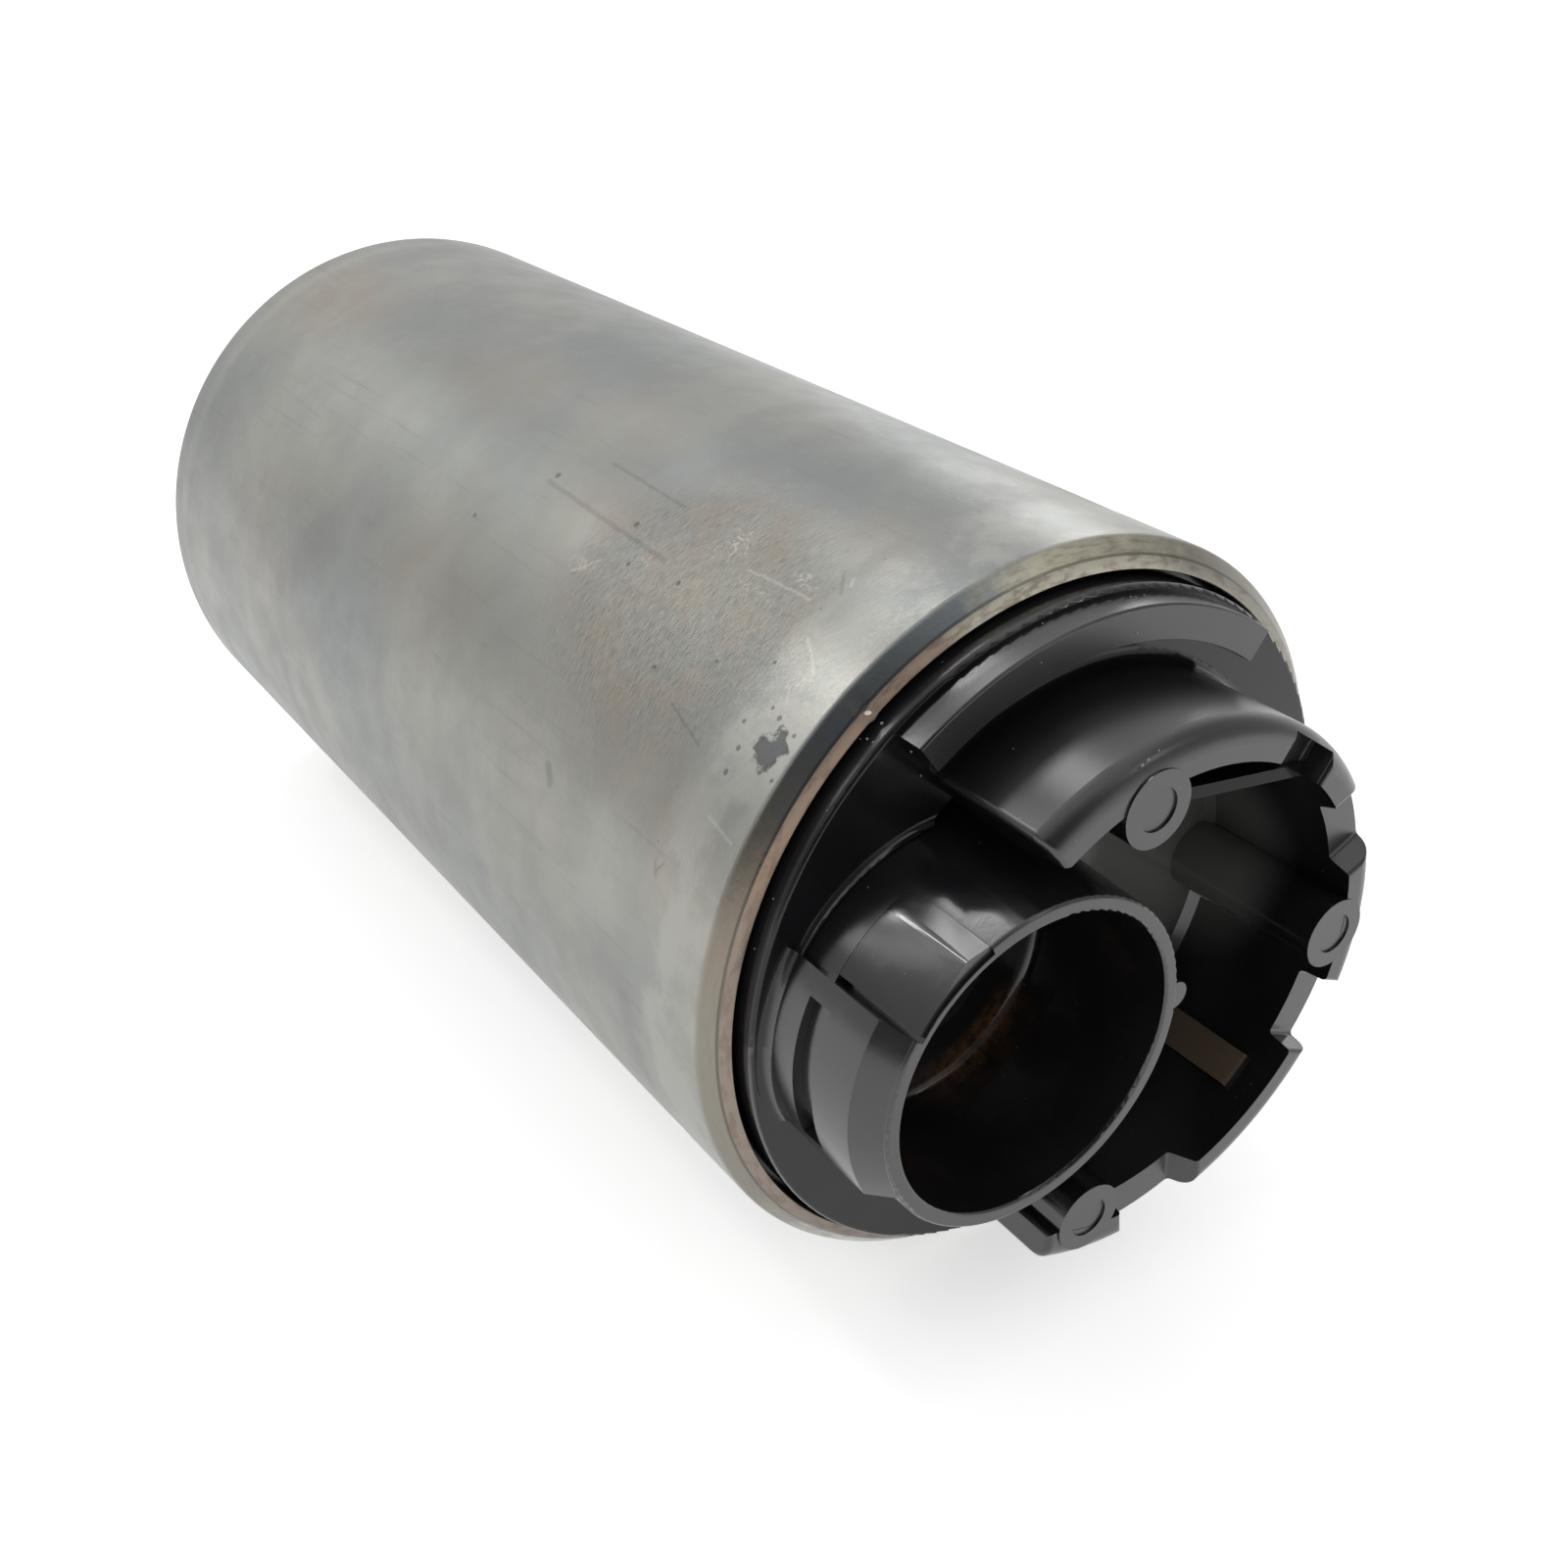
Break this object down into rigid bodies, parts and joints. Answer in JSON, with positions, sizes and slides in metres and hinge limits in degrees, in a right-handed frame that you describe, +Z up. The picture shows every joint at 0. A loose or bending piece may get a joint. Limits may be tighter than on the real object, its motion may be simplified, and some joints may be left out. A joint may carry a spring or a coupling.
{
  "type": "electric fuel pump",
  "caption": "Electric in-tank fuel pump: steel barrel rolled over black end covers, toothed skirt and inlet tube at the suction end, hose spigot and socket at the outlet end.",
  "frame": {"origin": "on the pump's axis, midway between the two rolled lips of the barrel", "axes": "+X along the axis towards the suction end, +Z up, the inlet tube offset towards -Y"},
  "size_m": [0.109, 0.043, 0.043],
  "materials": {
    "barrel_steel": "satin, mottled bare steel",
    "black_plastic": "satin black moulding",
    "seal_rubber": "matt black",
    "cast_aluminium": "machined die casting",
    "phenolic": "brown moulded phenolic",
    "steel": "ground",
    "bronze": "sintered bronze",
    "ferrite": "dark grey, matt",
    "spring_steel": "bright",
    "lamination": "stacked sheet",
    "copper": "bare or enamelled copper",
    "nylon": "natural white",
    "carbon": "pressed carbon, matt",
    "tinned": "tinned",
    "brass": "turned"
  },
  "bodies": {
    "pump_body": {"barrel_shell": "barrel_steel", "suction_cap": "black_plastic", "suction_seal": "seal_rubber", "inlet_plate": "cast_aluminium", "thrust_button": "steel", "pump_housing": "cast_aluminium", "front_bush": "bronze", "rear_bush": "bronze", "magnet_upper": "ferrite", "magnet_lower": "ferrite", "magnet_clips": "spring_steel", "outlet_cover": "black_plastic", "outlet_seal": "seal_rubber", "check_valve_seat": "brass", "check_valve_spring": "spring_steel", "check_valve_guide": "nylon", "relief_valve_seat": "brass", "relief_valve_spring": "spring_steel", "relief_valve_plug": "brass", "brush_spring_left": "spring_steel", "brush_lead_left": "copper", "choke_core_left": "ferrite", "choke_coil_left": "copper", "choke_lead_left": "copper", "terminal_left": "tinned", "brush_spring_right": "spring_steel", "brush_lead_right": "copper", "choke_core_right": "ferrite", "choke_coil_right": "copper", "choke_lead_right": "copper", "terminal_right": "tinned"},
    "rotor": {"impeller": "phenolic", "rotor_shaft": "steel", "armature_core": "lamination", "armature_windings": "copper", "front_spacer": "nylon", "thrust_washers": "nylon", "commutator_hub": "phenolic", "commutator_segments": "copper"},
    "brush_left": {"brush_left": "carbon"},
    "brush_right": {"brush_right": "carbon"},
    "check_poppet": {"check_valve_poppet": "seal_rubber"},
    "relief_ball": {"relief_valve_ball": "steel"}
  },
  "joints": [
    {"name": "rotor_spin", "type": "hinge", "parent": "pump_body", "child": "rotor", "pos_m": [0, 0, 0], "axis": [1, 0, 0], "continuous": true},
    {"name": "brush_left_slide", "type": "slide", "parent": "pump_body", "child": "brush_left", "axis": [-1, 0, 0], "range_m": [0, 0.003], "stiffness_N_per_m": 200, "springref_m": -0.006, "deforming": ["brush_spring_left", "brush_lead_left"]},
    {"name": "brush_right_slide", "type": "slide", "parent": "pump_body", "child": "brush_right", "axis": [-1, 0, 0], "range_m": [0, 0.003], "stiffness_N_per_m": 200, "springref_m": -0.006, "deforming": ["brush_spring_right", "brush_lead_right"]},
    {"name": "check_valve_slide", "type": "slide", "parent": "pump_body", "child": "check_poppet", "axis": [-1, 0, 0], "range_m": [0, 0.002], "stiffness_N_per_m": 60, "springref_m": -0.003, "deforming": ["check_valve_spring"]},
    {"name": "relief_valve_slide", "type": "slide", "parent": "pump_body", "child": "relief_ball", "axis": [-1, 0, 0], "range_m": [0, 0.0009], "stiffness_N_per_m": 400, "springref_m": -0.004, "deforming": ["relief_valve_spring"]}
  ]
}
